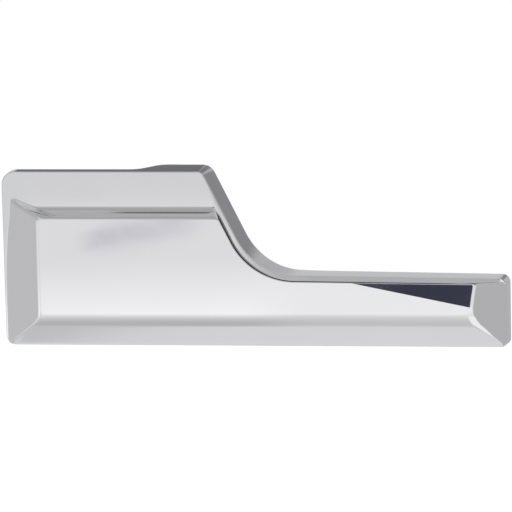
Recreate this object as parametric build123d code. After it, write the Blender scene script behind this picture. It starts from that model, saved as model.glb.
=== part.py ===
from build123d import *
import math
import os

# Car interior door handle: a chrome-plated pull lever on a hinge base.
# Sizes are in millimetres and degrees. X runs along the lever, Y into the door and Z up.
# The origin is the centre of the four door screws, on the plane that the base bears on.

# Lever outline, seen from the front
LEVER_LENGTH = 166.6
HUB_HEIGHT = 57.4
BAR_HEIGHT = 22.5
BAR_SWELL = 0.95
HUB_TOP_LENGTH = 66.8
END_LEAN = 0.7
SLOPE_ANGLE = 63.1
NECK_RADIUS = 22.0
END_BOTTOM_RADIUS = 3.0
END_TOP_RADIUS = 4.2
HUB_CORNER_RADIUS = 5.0
TIP_TOP_RADIUS = 2.4
TIP_BOTTOM_RADIUS = 1.6
LEAST_RADIUS = 0.5

# Place of the lever about the screw pattern
LEVER_LEFT = -34.0
LEVER_BOTTOM = -25.0
RIM_STANDOFF = 30.0

# Raised front panel: ledges round its foot, the runs of its bevels and the step to the shoulder
PANEL_RISE = 3.0
BOTTOM_BEVEL = 8.0
TIP_BEVEL = 9.8
END_BEVEL = 10.7
END_LEDGE = 1.2
BAR_LEDGE = 1.75
SLOPE_LEDGE = 1.7
SHOULDER_HEIGHT = 12.45
RISER_RUN = 2.4
COVE_RADIUS = 2.5
FACET_LENGTH = 38.4
FACET_HEIGHT = 7.3
FACET_DROP = 0.3

# Rounded edges of the cover
BOTTOM_EDGE_RADIUS = 14.5
PANEL_EDGE_RADIUS = 1.0
RIM_EDGE_RADIUS = 0.8

# Side wall of the cover: shallow on the hub, deepest at the neck
COVER_WALL = 2.5
COVER_DRAFT = 1.5
HUB_SKIRT = 6.4
NECK_SKIRT = 18.4
NECK_END_SKIRT = 17.6
BAR_SKIRT = 11.8
TIP_SKIRT = 10.6
RAMP_PLACE = 44.5
RAMP_LENGTH = 6.0
RAMP_RADIUS = 5.0
NECK_END_PLACE = 78.0
BAR_PLACE = 102.0
NECK_BACK_RADIUS = 40.0

# Carrier behind the cover
CARRIER_WALL = 2.5
CARRIER_RECESS = 0.4
CARRIER_CLEARANCE = 0.3
BARREL_RADIUS = 5.5
RIB_WALL = 2.0
RIB_DEPTH = 4.0

# Hinge
PIVOT_PLACE = 18.0
OPEN_ANGLE = 30.0
EAR_GAP = 30.0
EAR_WALL = 4.0
EAR_ROOT = 13.0
EAR_CLEARANCE = 0.5
PIN_RADIUS = 2.5
PIN_HEAD_RADIUS = 4.2
PIN_HEAD_HEIGHT = 1.8
PIN_TAIL = 2.4
PIN_CHAMFER = 0.4
PIN_FIT = 0.04
BUSH_WALL = 1.0
BUSH_FLANGE = 1.0
BUSH_FLANGE_RADIUS = 5.0
SEAT_FIT = 0.02
AXIAL_PLAY = 0.15
RING_WALL = 0.8
RING_RADIUS = 4.6
RING_GROOVE = 0.5
RING_MOUTH = 3.4
RING_PLAY = 0.1

# Return spring and the sleeve inside it
SPRING_ROOM = 11.6
WIRE_RADIUS = 0.7
WIRE_SIDES = 8
WHOLE_TURNS = 3
SPRING_PITCH = 2.4
SPRING_LEG = 9.0
LEG_GAP = 0.1
LEG_HOLE_FIT = 0.2
SLEEVE_FIT = 0.15
SLEEVE_GAP = 0.3

# Cable arm
ARM_WALL = 4.0
ARM_ROOT_RADIUS = 4.5
ARM_EYE_RADIUS = 2.6
CABLE_DEPTH = 2.8
NIPPLE_RADIUS = 1.5
CABLE_SLIT = 1.2

# Base
SCREW_PITCH_X = 52.0
SCREW_PITCH_Z = 38.0
SCREW_BORE_RADIUS = 2.75
LIMITER_WALL = 1.25
BOSS_RADIUS = 5.5
BOSS_HEIGHT = 7.0
PLATE_FRONT = 5.0
PLATE_WALL = 3.0
FLANGE_WALL = 2.0
BACK_RIB_WALL = 1.6
BACK_RIB_PITCH = 14.0
WINDOW_CLEARANCE = 1.2
CONDUIT_BLOCK = 4.5
CONDUIT_BLOCK_HEIGHT = 11.0
CONDUIT_BLOCK_DEPTH = 9.0
CONDUIT_SLOT = 3.8
GUSSET_WALL = 2.0
GUSSET_DEPTH = 8.0

# Rubber stops
BUMPER_PLACE_X = 24.0
BUMPER_PLACE_Z = 8.0
BUMPER_RADIUS = 4.5
BUMPER_TIP_RADIUS = 3.0
BUMPER_TIP_CHAMFER = 0.8
BUMPER_STEM_RADIUS = 2.0
BUMPER_BARB_RADIUS = 2.8
BUMPER_BARB_HEIGHT = 1.2
STEM_FIT = 0.05
STOP_GAP = 0.3
STOP_HEIGHT = 5.5
STOP_WIDTH = 7.0
STOP_LENGTH = 3.5
STOP_POST = 2.5

# Screws that hold the carrier in the cover
HUB_SCREW_PLACE = 36.0
HUB_SCREW_TOP_INSET = 5.0
HUB_SCREW_BOTTOM_INSET = 2.0
NECK_SCREW_INSET = 20.0
TIP_SCREW_INSET = 20.0
BAR_SCREW_PITCH = 40.0
SCREW_RADIUS = 1.4
SCREW_LENGTH = 4.5
SCREW_HEAD_RADIUS = 2.8
SCREW_HEAD_HEIGHT = 1.8
SCREW_HEAD_CHAMFER = 0.5
SCREW_FIT = 0.05
HEAD_CLEARANCE = 0.4
SEAT_WALL = 1.6
SEAT_RADIUS = 4.2
COVER_BOSS_RADIUS = 3.2
PILOT_SPARE = 0.5

# Places that follow from the sizes above
RIM_Y = -RIM_STANDOFF
PANEL_Y = RIM_Y - PANEL_RISE
HUB_BACK_Y = RIM_Y + HUB_SKIRT
NECK_BACK_Y = RIM_Y + NECK_SKIRT
CARRIER_BACK_Y = HUB_BACK_Y - CARRIER_RECESS
TIP_X = LEVER_LEFT + LEVER_LENGTH
HUB_TOP_Z = LEVER_BOTTOM + HUB_HEIGHT
BAR_TOP_Z = LEVER_BOTTOM + BAR_HEIGHT
RAMP_X = LEVER_LEFT + RAMP_PLACE
PIVOT_X = LEVER_LEFT + PIVOT_PLACE
PIVOT_Y = CARRIER_BACK_Y + BARREL_RADIUS
EAR_RADIUS = BARREL_RADIUS - EAR_CLEARANCE
EAR_INSIDE = EAR_GAP / 2
EAR_OUTSIDE = EAR_INSIDE + EAR_WALL
BARREL_OUTER = EAR_INSIDE - AXIAL_PLAY - BUSH_FLANGE
BARREL_INNER = SPRING_ROOM / 2
ARM_LEVEL = -(BARREL_OUTER + BARREL_INNER) / 2
ARM_REACH = -CABLE_DEPTH - PIVOT_Y
BUSH_RADIUS = PIN_RADIUS + PIN_FIT + BUSH_WALL
COIL_RADIUS = BARREL_RADIUS - WIRE_RADIUS - LEG_GAP
COIL_HEIGHT = (WHOLE_TURNS + 0.25) * SPRING_PITCH
LEG_SLOPE = SPRING_PITCH / (2 * math.pi * COIL_RADIUS)
LIMITER_RADIUS = SCREW_BORE_RADIUS + LIMITER_WALL
PLATE_FRONT_Y = -PLATE_FRONT
PLATE_BACK_Y = PLATE_FRONT_Y + PLATE_WALL
PLATE_MIDDLE_Y = (PLATE_FRONT_Y + PLATE_BACK_Y) / 2
PLATE_LENGTH = SCREW_PITCH_X + 2 * BOSS_RADIUS
PLATE_HEIGHT = SCREW_PITCH_Z + 2 * BOSS_RADIUS
WINDOW_HEIGHT = ARM_WALL + 2 * WINDOW_CLEARANCE
SWING = math.radians(OPEN_ANGLE)
WINDOW_RIGHT = PIVOT_X + ARM_REACH * math.sin(SWING) + ARM_EYE_RADIUS + WINDOW_CLEARANCE
HEAD_RECESS = SCREW_HEAD_HEIGHT + HEAD_CLEARANCE
FAR = 400.0


def front(y):
    """Drawing plane that faces the user at depth y: its own x and y are X and Z."""
    return Plane(origin=(0, y, 0), x_dir=(1, 0, 0), z_dir=(0, -1, 0))


def block(x, y, z):
    """Box between pairs of X, Y and Z."""
    sides = [high - low for low, high in (x, y, z)]
    middle = [(high + low) / 2 for low, high in (x, y, z)]
    return Pos(*middle) * Box(*sides)


def rod(x, z, radius, y_front, y_back):
    """Round bar along Y between two depths."""
    return extrude(front(y_back) * Pos(x, z) * Circle(radius), y_back - y_front)


def flat_piece(profile, z_low, z_high):
    """A profile drawn from above, given its height."""
    return extrude(Plane.XY.offset(z_low) * profile, z_high - z_low)


def upright(radius, z_low, z_high):
    """Round bar on the hinge axis between two heights."""
    return flat_piece(Pos(PIVOT_X, PIVOT_Y) * Circle(radius), z_low, z_high)


def shift_edges(points, shifts):
    """Corners of a counter-clockwise polygon after each edge moves outward by its shift."""
    lines = []
    for start, end, shift in zip(points, points[1:] + points[:1], shifts):
        along = (Vector(*end) - Vector(*start)).normalized()
        lines.append((Vector(*start) + Vector(along.Y, -along.X) * shift, along))
    corners = []
    for (p, d), (q, e) in zip(lines[-1:] + lines[:-1], lines):
        reach = ((q.X - p.X) * e.Y - (q.Y - p.Y) * e.X) / (d.X * e.Y - d.Y * e.X)
        corners.append((p.X + d.X * reach, p.Y + d.Y * reach))
    return corners


def lever_corners():
    """Sharp corners of the lever, from its lower left end counter-clockwise."""
    neck_z = BAR_TOP_Z + BAR_SWELL
    slope_run = (HUB_TOP_Z - neck_z) / math.tan(math.radians(SLOPE_ANGLE))
    hub_right = LEVER_LEFT + HUB_TOP_LENGTH
    return [
        (LEVER_LEFT + END_LEAN, LEVER_BOTTOM),
        (TIP_X, LEVER_BOTTOM),
        (TIP_X, BAR_TOP_Z),
        (hub_right + slope_run, neck_z),
        (hub_right, HUB_TOP_Z),
        (LEVER_LEFT, HUB_TOP_Z),
    ]


def lever_outline(y, grow):
    """The lever's rounded outline at depth y, moved outward by grow."""
    convex = [END_BOTTOM_RADIUS, TIP_BOTTOM_RADIUS, TIP_TOP_RADIUS, HUB_CORNER_RADIUS, END_TOP_RADIUS]
    radii = [max(radius + grow, LEAST_RADIUS) for radius in convex]
    radii.insert(3, NECK_RADIUS - grow)
    corners = shift_edges(lever_corners(), [grow] * len(radii))
    return front(y) * make_face(FilletPolyline(*corners, radius=radii, close=True))


def lever_prism(y, inset):
    """Drafted solid from depth y back to the deepest edge of the side wall."""
    slant = math.tan(math.radians(COVER_DRAFT))
    start = lever_outline(y, slant * (y - RIM_Y) - inset)
    return extrude(start, y - NECK_BACK_Y, taper=-COVER_DRAFT)


def edges_at(solid, y):
    """Edges that lie flat at depth y, the lowest first."""
    flat = solid.edges().filter_by(lambda e: max(abs((e @ 0).Y - y), abs((e @ 0.5).Y - y)) < 1e-3)
    return flat.sort_by(Axis.Z)


def panel_profile(wall):
    """Upright section of the panel: lower bevel, soft edge, flat, riser and the cove at its foot."""
    rear = RIM_STANDOFF - PANEL_RISE / 2
    crest = RIM_STANDOFF + PANEL_RISE
    low = LEVER_BOTTOM + RIM_EDGE_RADIUS
    high = HUB_TOP_Z - SHOULDER_HEIGHT - wall
    points = [
        (low - BOTTOM_BEVEL / 2, rear),
        (low + BOTTOM_BEVEL, crest),
        (high - RISER_RUN, crest),
        (high, RIM_STANDOFF),
        (HUB_TOP_Z, RIM_STANDOFF),
        (HUB_TOP_Z, rear),
    ]
    radii = [0, BOTTOM_EDGE_RADIUS, PANEL_EDGE_RADIUS, COVE_RADIUS, 0, 0]
    return make_face(FilletPolyline(*points, radius=radii, close=True))


def end_bevel(y, corner, ledge, run):
    """Plane of the bevel along the outline's edge after a corner, with its foot at depth y."""
    foot = shift_edges(lever_corners(), [-ledge] * 6)
    crest = shift_edges(lever_corners(), [-ledge - run] * 6)
    heel = Vector(foot[corner][0], y, foot[corner][1])
    toe = Vector(foot[corner - 5][0], y, foot[corner - 5][1])
    edge = Vector(crest[corner][0], y - PANEL_RISE, crest[corner][1])
    return Plane(origin=heel, z_dir=(edge - heel).cross(toe - heel))


def panel_block(y, wall):
    """Bevelled panel that rises from depth y; wall draws its steep sides in, for the inside."""
    side = Plane(origin=(LEVER_LEFT - END_BEVEL, y - RIM_Y, 0), x_dir=(0, 0, 1), z_dir=(1, 0, 0))
    panel = extrude(side * panel_profile(wall), END_BEVEL + LEVER_LENGTH + TIP_BEVEL)
    panel = split(panel, bisect_by=end_bevel(y, 1, RIM_EDGE_RADIUS, TIP_BEVEL), keep=Keep.TOP)
    panel = split(panel, bisect_by=end_bevel(y, 5, END_LEDGE, END_BEVEL), keep=Keep.TOP)
    shifts = [BOTTOM_BEVEL, TIP_BEVEL, -BAR_LEDGE - wall, -SLOPE_LEDGE - wall, 0, END_BEVEL]
    radii = [0, 0, 0, NECK_RADIUS + SLOPE_LEDGE + wall, 0, 0]
    outline = make_face(FilletPolyline(*shift_edges(lever_corners(), shifts), radius=radii, close=True))
    return panel & extrude(front(y + PANEL_RISE) * outline, 3 * PANEL_RISE)


def tip_facet():
    """Wedge whose cut leaves a shallow three-cornered facet at the bar's upper tip corner."""
    corner_x = TIP_X - RIM_EDGE_RADIUS - TIP_BEVEL
    corner_z = BAR_TOP_Z - BAR_LEDGE
    start = Vector(corner_x - FACET_LENGTH, PANEL_Y, corner_z)
    low = Vector(corner_x, PANEL_Y, corner_z - FACET_HEIGHT)
    sunk = Vector(corner_x, PANEL_Y + FACET_DROP, corner_z)
    space = block((start.X, TIP_X), (PANEL_Y - PANEL_RISE, RIM_Y), (LEVER_BOTTOM, HUB_TOP_Z))
    facet = Plane(origin=start, z_dir=(sunk - start).cross(low - start))
    return split(space, bisect_by=facet, keep=Keep.BOTTOM)


def rounded_panel():
    """The raised panel with its sharp edges rounded and its facet cut."""
    panel = panel_block(RIM_Y, 0)
    panel = fillet(edges_at(panel, PANEL_Y)[1:-1], PANEL_EDGE_RADIUS) - tip_facet()
    return panel & extrude(lever_outline(RIM_Y + PANEL_RISE, -RIM_EDGE_RADIUS), 3 * PANEL_RISE)


def back_edge():
    """Side wall's back edge from above, past the ramp: X and depth of its corners."""
    return [
        (RAMP_X + RAMP_LENGTH, NECK_BACK_Y),
        (LEVER_LEFT + NECK_END_PLACE, RIM_Y + NECK_END_SKIRT),
        (LEVER_LEFT + BAR_PLACE, RIM_Y + BAR_SKIRT),
        (TIP_X, RIM_Y + TIP_SKIRT),
    ]


def behind_back_edge(shift):
    """Space behind the side wall's back edge, moved towards the user by shift."""
    points = [(RAMP_X - FAR, HUB_BACK_Y), (RAMP_X, HUB_BACK_Y)] + back_edge()
    points += [(TIP_X, FAR), (RAMP_X - FAR, FAR)]
    ramp = [RAMP_RADIUS + shift, max(RAMP_RADIUS - shift, LEAST_RADIUS)]
    bends = [NECK_BACK_RADIUS - shift, NECK_BACK_RADIUS + shift]
    corners = shift_edges(points, [shift] * 5 + [FAR, 0, 0])
    profile = make_face(FilletPolyline(*corners, radius=[0] + ramp + bends + [0, 0, 0], close=True))
    return flat_piece(profile, -FAR, FAR)


def carrier_back(x):
    """Depth of the carrier's back face at x, to either side of the ramp."""
    if x <= RAMP_X:
        return CARRIER_BACK_Y
    for (start, y), (end, end_y) in zip(back_edge(), back_edge()[1:]):
        if x <= end:
            fall = (end_y - y) / (end - start)
            return y + fall * (x - start) - CARRIER_RECESS * math.hypot(1, fall)


def screw_seats():
    """X, Z and head depth of each screw between carrier and cover."""
    hub_x = LEVER_LEFT + HUB_SCREW_PLACE
    neck_x = RAMP_X + RAMP_LENGTH + NECK_SCREW_INSET
    tip_x = TIP_X - TIP_SCREW_INSET
    flat_low = LEVER_BOTTOM + RIM_EDGE_RADIUS + BOTTOM_BEVEL
    flat_high = HUB_TOP_Z - SHOULDER_HEIGHT - RISER_RUN
    bar_z = (flat_low + BAR_TOP_Z - BAR_LEDGE) / 2
    places = [(hub_x, flat_high - HUB_SCREW_TOP_INSET), (hub_x, flat_low + HUB_SCREW_BOTTOM_INSET)]
    places += [(neck_x, bar_z), (tip_x - BAR_SCREW_PITCH, bar_z), (tip_x, bar_z)]
    return [(x, z, carrier_back(x) - HEAD_RECESS) for x, z in places]


def lever_cover():
    """Chrome-plated shell: drafted skirt, raised panel, hollow inside and screw bosses."""
    skirt = lever_prism(RIM_Y, 0)
    skirt = fillet(edges_at(skirt, RIM_Y), RIM_EDGE_RADIUS)
    inner_y = RIM_Y + COVER_WALL
    hollow = panel_block(inner_y, COVER_WALL)
    hollow &= extrude(lever_outline(NECK_BACK_Y, -COVER_WALL), NECK_SKIRT + PANEL_RISE)
    hollow += lever_prism(inner_y, COVER_WALL)
    cover = skirt + rounded_panel() - hollow
    for x, z, seat in screw_seats():
        cover += rod(x, z, COVER_BOSS_RADIUS, PANEL_Y + COVER_WALL / 2, seat - SEAT_WALL)
    for x, z, seat in screw_seats():
        cover -= rod(x, z, SCREW_RADIUS + SCREW_FIT, seat - SCREW_LENGTH - PILOT_SPARE, seat)
    return cover - behind_back_edge(0)


def arm_outline(grow):
    """Cable arm from above: a tapering link from the hinge axis to the cable eye."""
    root = Pos(PIVOT_X, PIVOT_Y) * Circle(ARM_ROOT_RADIUS + grow)
    eye = Pos(PIVOT_X, -CABLE_DEPTH) * Circle(ARM_EYE_RADIUS + grow)
    return make_hull(root.edges() + eye.edges())


def barrel_and_rib():
    """One hinge barrel on its foot, with the rib that ties it to the ramp."""
    foot = block(
        (PIVOT_X - BARREL_RADIUS, PIVOT_X + BARREL_RADIUS),
        (CARRIER_BACK_Y - CARRIER_WALL / 2, PIVOT_Y),
        (BARREL_INNER, BARREL_OUTER),
    )
    middle = (BARREL_INNER + BARREL_OUTER) / 2
    rib = block(
        (PIVOT_X, RAMP_X + RAMP_LENGTH / 2),
        (CARRIER_BACK_Y - CARRIER_WALL / 2, CARRIER_BACK_Y + RIB_DEPTH),
        (middle - RIB_WALL / 2, middle + RIB_WALL / 2),
    )
    return upright(BARREL_RADIUS, BARREL_INNER, BARREL_OUTER) + foot + rib


def lever_carrier():
    """Black backing of the lever: wall, hinge barrels, cable arm and screw seats."""
    inset = COVER_WALL + CARRIER_CLEARANCE
    wall = behind_back_edge(CARRIER_RECESS + CARRIER_WALL) - behind_back_edge(CARRIER_RECESS)
    carrier = wall & lever_prism(RIM_Y + inset, inset)
    carrier += barrel_and_rib() + mirror(barrel_and_rib(), about=Plane.XY)
    carrier += flat_piece(arm_outline(0), ARM_LEVEL - ARM_WALL / 2, ARM_LEVEL + ARM_WALL / 2)
    for x, z, seat in screw_seats():
        carrier += rod(x, z, SEAT_RADIUS, seat - SEAT_WALL, seat + HEAD_RECESS)
    for x, z, seat in screw_seats():
        carrier -= rod(x, z, SCREW_HEAD_RADIUS + HEAD_CLEARANCE, seat, seat + 2 * HEAD_RECESS)
        carrier -= rod(x, z, SCREW_RADIUS + SCREW_FIT, seat - SEAT_WALL, seat)
    carrier -= upright(BUSH_RADIUS + SEAT_FIT, -EAR_INSIDE, EAR_INSIDE)
    eye = Pos(PIVOT_X, -CABLE_DEPTH)
    carrier -= flat_piece(eye * Circle(NIPPLE_RADIUS), ARM_LEVEL - ARM_WALL, ARM_LEVEL + ARM_WALL)
    slit = eye * Pos(-ARM_EYE_RADIUS, 0) * Rectangle(2 * ARM_EYE_RADIUS, CABLE_SLIT)
    return carrier - flat_piece(slit, ARM_LEVEL - CABLE_SLIT / 2, ARM_LEVEL + ARM_WALL)


def bush(side):
    """Flanged plain bearing in the barrel above (1) or below (-1) the spring."""
    sleeve = upright(BUSH_RADIUS, BARREL_INNER, BARREL_OUTER)
    flange = upright(BUSH_FLANGE_RADIUS, BARREL_OUTER, BARREL_OUTER + BUSH_FLANGE)
    made = sleeve + flange - upright(PIN_RADIUS + PIN_FIT, 0, EAR_INSIDE)
    return made if side > 0 else mirror(made, about=Plane.XY)


def carrier_screws():
    """Thread-forming screws with chamfered heads, all alike."""
    screws = []
    for x, z, seat in screw_seats():
        head = rod(x, z, SCREW_HEAD_RADIUS, seat, seat + SCREW_HEAD_HEIGHT)
        head = chamfer(head.edges().sort_by(Axis.Y)[-1], SCREW_HEAD_CHAMFER)
        screws.append(head + rod(x, z, SCREW_RADIUS, seat - SCREW_LENGTH, seat))
    return Compound(children=screws)


def ear_outline():
    """Hinge ear from above: round at the pin, straight on the left, sloping to its root on the right."""
    nose = Pos(PIVOT_X, PIVOT_Y) * Circle(EAR_RADIUS)
    root = Line((PIVOT_X - EAR_RADIUS, PLATE_MIDDLE_Y), (PIVOT_X + EAR_ROOT, PLATE_MIDDLE_Y))
    return make_hull(nose.edges() + root.edges())


def ear_and_gusset():
    """One hinge ear with the gusset that props it from outside."""
    ear = flat_piece(ear_outline(), EAR_INSIDE, EAR_OUTSIDE)
    prop = Polygon(
        (EAR_OUTSIDE, PLATE_MIDDLE_Y),
        (PLATE_HEIGHT / 2, PLATE_MIDDLE_Y),
        (EAR_OUTSIDE, PLATE_FRONT_Y - GUSSET_DEPTH),
        align=None,
    )
    side = Plane(origin=(PIVOT_X, 0, 0), x_dir=(0, 0, 1), z_dir=(-1, 0, 0))
    return ear + extrude(side * prop, GUSSET_WALL / 2, both=True)


def screw_places():
    """The four door screws, at the corners of their rectangle."""
    return [(x * SCREW_PITCH_X / 2, z * SCREW_PITCH_Z / 2) for x in (-1, 1) for z in (-1, 1)]


def bumper_places():
    return [(BUMPER_PLACE_X, BUMPER_PLACE_Z), (BUMPER_PLACE_X, -BUMPER_PLACE_Z)]


def base_shell():
    """Base plate with its flange, back ribs and screw bosses."""
    outline = RectangleRounded(PLATE_LENGTH, PLATE_HEIGHT, BOSS_RADIUS)
    inside = offset(outline, -FLANGE_WALL)
    shell = extrude(front(0) * outline, PLATE_FRONT) - extrude(front(0) * inside, -PLATE_BACK_Y)
    tall = (-PLATE_HEIGHT / 2 + FLANGE_WALL, PLATE_HEIGHT / 2 - FLANGE_WALL)
    count = int(PLATE_LENGTH / BACK_RIB_PITCH) // 2
    for step in range(-count + 1, count):
        middle = step * BACK_RIB_PITCH
        x = (middle - BACK_RIB_WALL / 2, middle + BACK_RIB_WALL / 2)
        shell += block(x, (PLATE_BACK_Y, 0), tall)
    long = (-PLATE_LENGTH / 2 + FLANGE_WALL, PLATE_LENGTH / 2 - FLANGE_WALL)
    shell += block(long, (PLATE_BACK_Y, 0), (-BACK_RIB_WALL / 2, BACK_RIB_WALL / 2))
    for x, z in screw_places():
        shell += rod(x, z, BOSS_RADIUS, -BOSS_HEIGHT, 0)
    return shell


def conduit_slot(x_left, x_right):
    """Slot that the cable's conduit snaps into from behind."""
    side = Plane(origin=(x_left, 0, 0), x_dir=(0, 1, 0), z_dir=(1, 0, 0))
    seat = Pos(-CABLE_DEPTH, ARM_LEVEL) * Circle(CONDUIT_SLOT / 2)
    mouth = Pos(0, ARM_LEVEL) * Rectangle(2 * CABLE_DEPTH, CONDUIT_SLOT)
    return extrude(side * (seat + mouth), x_right - x_left)


def hinge_base():
    """Black bracket on the door: plate, ears, conduit block, stop post and all its holes."""
    left = -PLATE_LENGTH / 2
    stop_right = WINDOW_RIGHT + STOP_LENGTH
    half_block = CONDUIT_BLOCK_HEIGHT / 2
    half_window = WINDOW_HEIGHT / 2
    base = base_shell() + ear_and_gusset() + mirror(ear_and_gusset(), about=Plane.XY)
    base += block(
        (left, left + CONDUIT_BLOCK),
        (-CONDUIT_BLOCK_DEPTH, 0),
        (ARM_LEVEL - half_block, ARM_LEVEL + half_block),
    )
    base += block(
        (stop_right, stop_right + STOP_POST),
        (PLATE_FRONT_Y - STOP_HEIGHT, PLATE_MIDDLE_Y),
        (ARM_LEVEL - STOP_WIDTH / 2, ARM_LEVEL + STOP_WIDTH / 2),
    )
    base -= block(
        (left + CONDUIT_BLOCK, WINDOW_RIGHT),
        (PLATE_FRONT_Y, CABLE_DEPTH),
        (ARM_LEVEL - half_window, ARM_LEVEL + half_window),
    )
    base -= conduit_slot(left, left + CONDUIT_BLOCK)
    base -= upright(PIN_RADIUS + PIN_FIT, -EAR_OUTSIDE, EAR_OUTSIDE)
    leg_x, leg_z = spring_leg_hole()
    base -= rod(leg_x, leg_z, WIRE_RADIUS + LEG_HOLE_FIT, PLATE_FRONT_Y, PLATE_BACK_Y)
    for x, z in screw_places():
        base -= rod(x, z, LIMITER_RADIUS + SEAT_FIT, -BOSS_HEIGHT, 0)
    for x, z in bumper_places():
        base -= rod(x, z, BUMPER_STEM_RADIUS + STEM_FIT, PLATE_FRONT_Y, PLATE_BACK_Y)
    return base


def pivot_pin():
    """Hinge pin: head below the lower ear, groove above the upper ear."""
    shank = upright(PIN_RADIUS, -EAR_OUTSIDE, EAR_OUTSIDE + PIN_TAIL)
    shank = chamfer(shank.edges().sort_by(Axis.Z)[-1], PIN_CHAMFER)
    head = upright(PIN_HEAD_RADIUS, -EAR_OUTSIDE - PIN_HEAD_HEIGHT, -EAR_OUTSIDE)
    head = chamfer(head.edges().sort_by(Axis.Z)[0], PIN_CHAMFER)
    groove = (EAR_OUTSIDE, EAR_OUTSIDE + RING_WALL + 2 * RING_PLAY)
    return shank + head - (upright(PIN_HEAD_RADIUS, *groove) - upright(PIN_RADIUS - RING_GROOVE, *groove))


def pin_retaining_ring():
    """Open ring that snaps into the pin's groove."""
    ring = Circle(RING_RADIUS) - Circle(PIN_RADIUS - RING_GROOVE + SEAT_FIT)
    ring -= Pos(0, RING_RADIUS) * Rectangle(RING_MOUTH, 2 * RING_RADIUS)
    low = EAR_OUTSIDE + RING_PLAY
    return flat_piece(Pos(PIVOT_X, PIVOT_Y) * ring, low, low + RING_WALL)


def spring_sleeve():
    """Spacer on the pin that keeps the coil centred."""
    half = SPRING_ROOM / 2 - SLEEVE_FIT
    outer = COIL_RADIUS - WIRE_RADIUS - SLEEVE_GAP
    return upright(outer, -half, half) - upright(PIN_RADIUS + SLEEVE_FIT, -half, half)


def spring_leg_hole():
    """X and Z where the spring's fixed leg enters the base plate."""
    rise = LEG_SLOPE * (PLATE_MIDDLE_Y - PIVOT_Y)
    return PIVOT_X + COIL_RADIUS, COIL_HEIGHT / 2 + rise


def return_spring():
    """Torsion spring: one leg along the carrier's back, the other into the base plate."""
    coil = Helix(SPRING_PITCH, COIL_HEIGHT, COIL_RADIUS, center=(0, 0, -COIL_HEIGHT / 2))
    coil = Pos(PIVOT_X, PIVOT_Y) * Rot(0, 0, -90) * coil
    along = Vector(1, 0, LEG_SLOPE)
    free_end = coil @ 0 - along * SPRING_LEG
    leg_x, leg_z = spring_leg_hole()
    path = Line(free_end, coil @ 0) + coil + Line(coil @ 1, (leg_x, PLATE_MIDDLE_Y, leg_z))
    return sweep(Plane(origin=free_end, z_dir=along) * RegularPolygon(WIRE_RADIUS, WIRE_SIDES), path)


def rest_bumper(z):
    """Rubber button in the base plate, with its chamfered tip under the closed lever."""
    tip_y = carrier_back(BUMPER_PLACE_X) + STOP_GAP
    barb_y = PLATE_BACK_Y + BUMPER_BARB_HEIGHT
    outline = Polyline(
        (0, barb_y),
        (BUMPER_STEM_RADIUS, barb_y),
        (BUMPER_BARB_RADIUS, PLATE_BACK_Y),
        (BUMPER_STEM_RADIUS, PLATE_BACK_Y),
        (BUMPER_STEM_RADIUS, PLATE_FRONT_Y),
        (BUMPER_RADIUS, PLATE_FRONT_Y),
        (BUMPER_TIP_RADIUS, tip_y + BUMPER_TIP_CHAMFER),
        (BUMPER_TIP_RADIUS - BUMPER_TIP_CHAMFER, tip_y),
        (0, tip_y),
        close=True,
    )
    return Pos(BUMPER_PLACE_X, 0, z) * revolve(make_face(outline), Axis.Y)


def open_stop_bumper():
    """Rubber block against the stop post, shaped to the cable arm's flank at full opening."""
    height = (ARM_LEVEL - STOP_WIDTH / 2, ARM_LEVEL + STOP_WIDTH / 2)
    pad = block((PIVOT_X, WINDOW_RIGHT + STOP_LENGTH), (PLATE_FRONT_Y - STOP_HEIGHT, PLATE_FRONT_Y), height)
    arm = flat_piece(arm_outline(STOP_GAP), *height)
    hinge = Axis((PIVOT_X, PIVOT_Y, 0), (0, 0, 1))
    pad -= arm.rotate(hinge, -OPEN_ANGLE)
    return pad.solids().sort_by(Axis.X)[-1]


def compression_limiters():
    """Steel sleeves that take the door screws' clamping load, all alike."""
    sleeves = []
    for x, z in screw_places():
        bore = rod(x, z, SCREW_BORE_RADIUS, -BOSS_HEIGHT, 0)
        sleeves.append(rod(x, z, LIMITER_RADIUS, -BOSS_HEIGHT, 0) - bore)
    return Compound(children=sleeves)


PIECES = {
    "lever_cover": lever_cover,
    "lever_carrier": lever_carrier,
    "upper_bush": lambda: bush(1),
    "lower_bush": lambda: bush(-1),
    "carrier_screws": carrier_screws,
    "hinge_base": hinge_base,
    "pivot_pin": pivot_pin,
    "pin_retaining_ring": pin_retaining_ring,
    "spring_sleeve": spring_sleeve,
    "return_spring": return_spring,
    "upper_rest_bumper": lambda: rest_bumper(BUMPER_PLACE_Z),
    "lower_rest_bumper": lambda: rest_bumper(-BUMPER_PLACE_Z),
    "open_stop_bumper": open_stop_bumper,
    "compression_limiters": compression_limiters,
}

os.makedirs("parts", exist_ok=True)
for name, make in PIECES.items():
    export_step(make(), f"parts/{name}.step")
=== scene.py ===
# %% [markdown]
# # A chrome-plated car door handle
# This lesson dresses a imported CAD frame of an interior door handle: a chrome pull lever that turns on a
# steel pin, and the black base behind it that is screwed to the door. The frame gives the places and the
# motion. Blender gives the edges, the plating, the moulded grain and the light.

import math

import bmesh
import bpy
from mathutils import Matrix, Vector


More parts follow.
